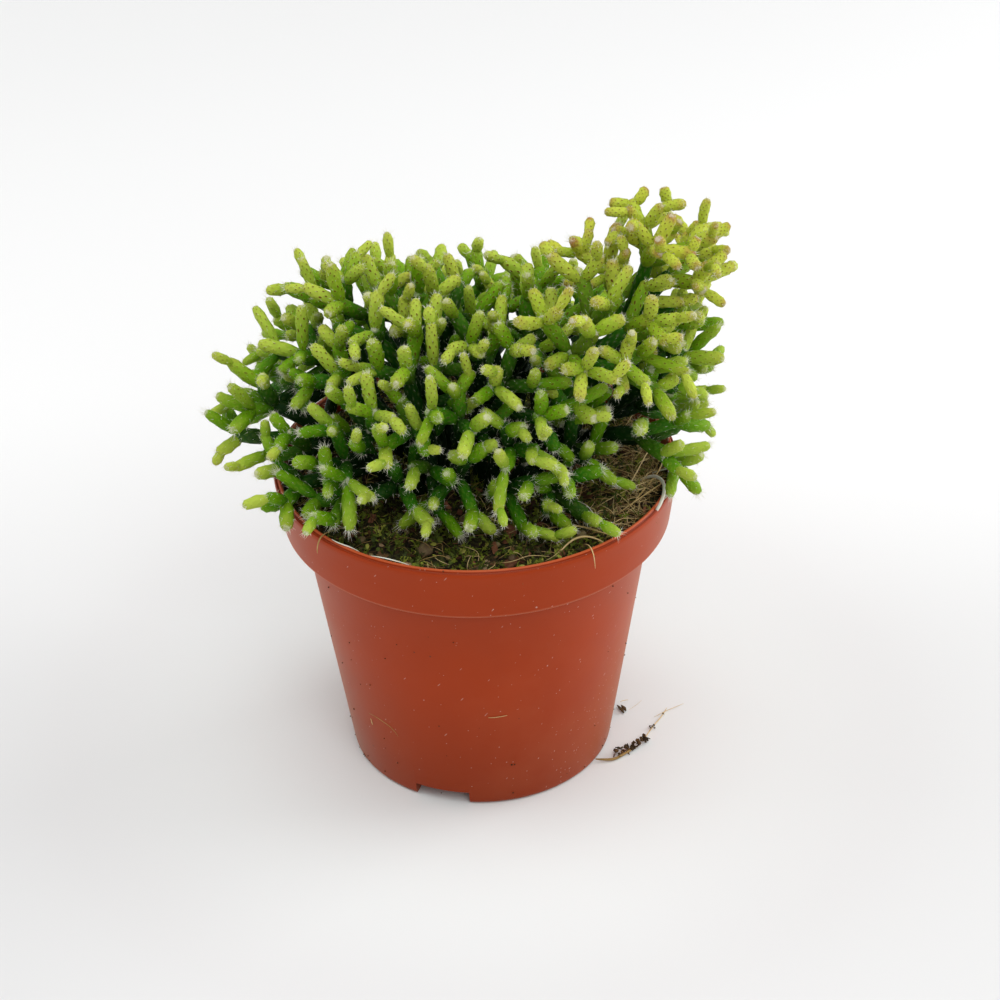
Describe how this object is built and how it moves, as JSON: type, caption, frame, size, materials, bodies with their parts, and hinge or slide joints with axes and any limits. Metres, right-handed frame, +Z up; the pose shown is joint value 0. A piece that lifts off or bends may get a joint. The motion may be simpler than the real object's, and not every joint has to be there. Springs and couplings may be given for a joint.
{
  "type": "potted rhipsalis cactus",
  "caption": "Low, dense shrublet of short cylindrical branching shoots, rooted in peat in a round tapered plastic nursery pot with a plain rim band.",
  "frame": {"origin": "centre of the pot's foot, on the surface it stands on", "axes": "+Z up; the pictured front of the plant faces -Y, and its tall spray is at +X"},
  "size_m": [0.1488, 0.1316, 0.1783],
  "materials": {
    "pot": "satin terracotta-coloured polypropylene with light scuffs",
    "soil": "matt dark peat with moss and fibres",
    "shoots": "satin green skin with small bristly areoles"
  },
  "bodies": {
    "root": {"pot": "pot", "soil": "soil", "stem_left_edge": "shoots", "stem_left_upper": "shoots", "stem_left_low": "shoots", "stem_left_front": "shoots", "stem_front_left": "shoots", "stem_front_a": "shoots", "stem_front_b": "shoots", "stem_front_c": "shoots", "stem_front_d": "shoots", "stem_front_right": "shoots", "stem_mid_left": "shoots", "stem_right_star": "shoots", "stem_right_tall": "shoots", "stem_right_arm": "shoots", "stem_right_droop": "shoots", "stem_top_left": "shoots", "stem_top_mid": "shoots", "stem_top_right": "shoots", "stem_back_left": "shoots", "stem_back_low": "shoots", "stem_back_a": "shoots", "stem_back_b": "shoots", "stem_back_c": "shoots", "stem_back_right": "shoots"}
  },
  "joints": []
}
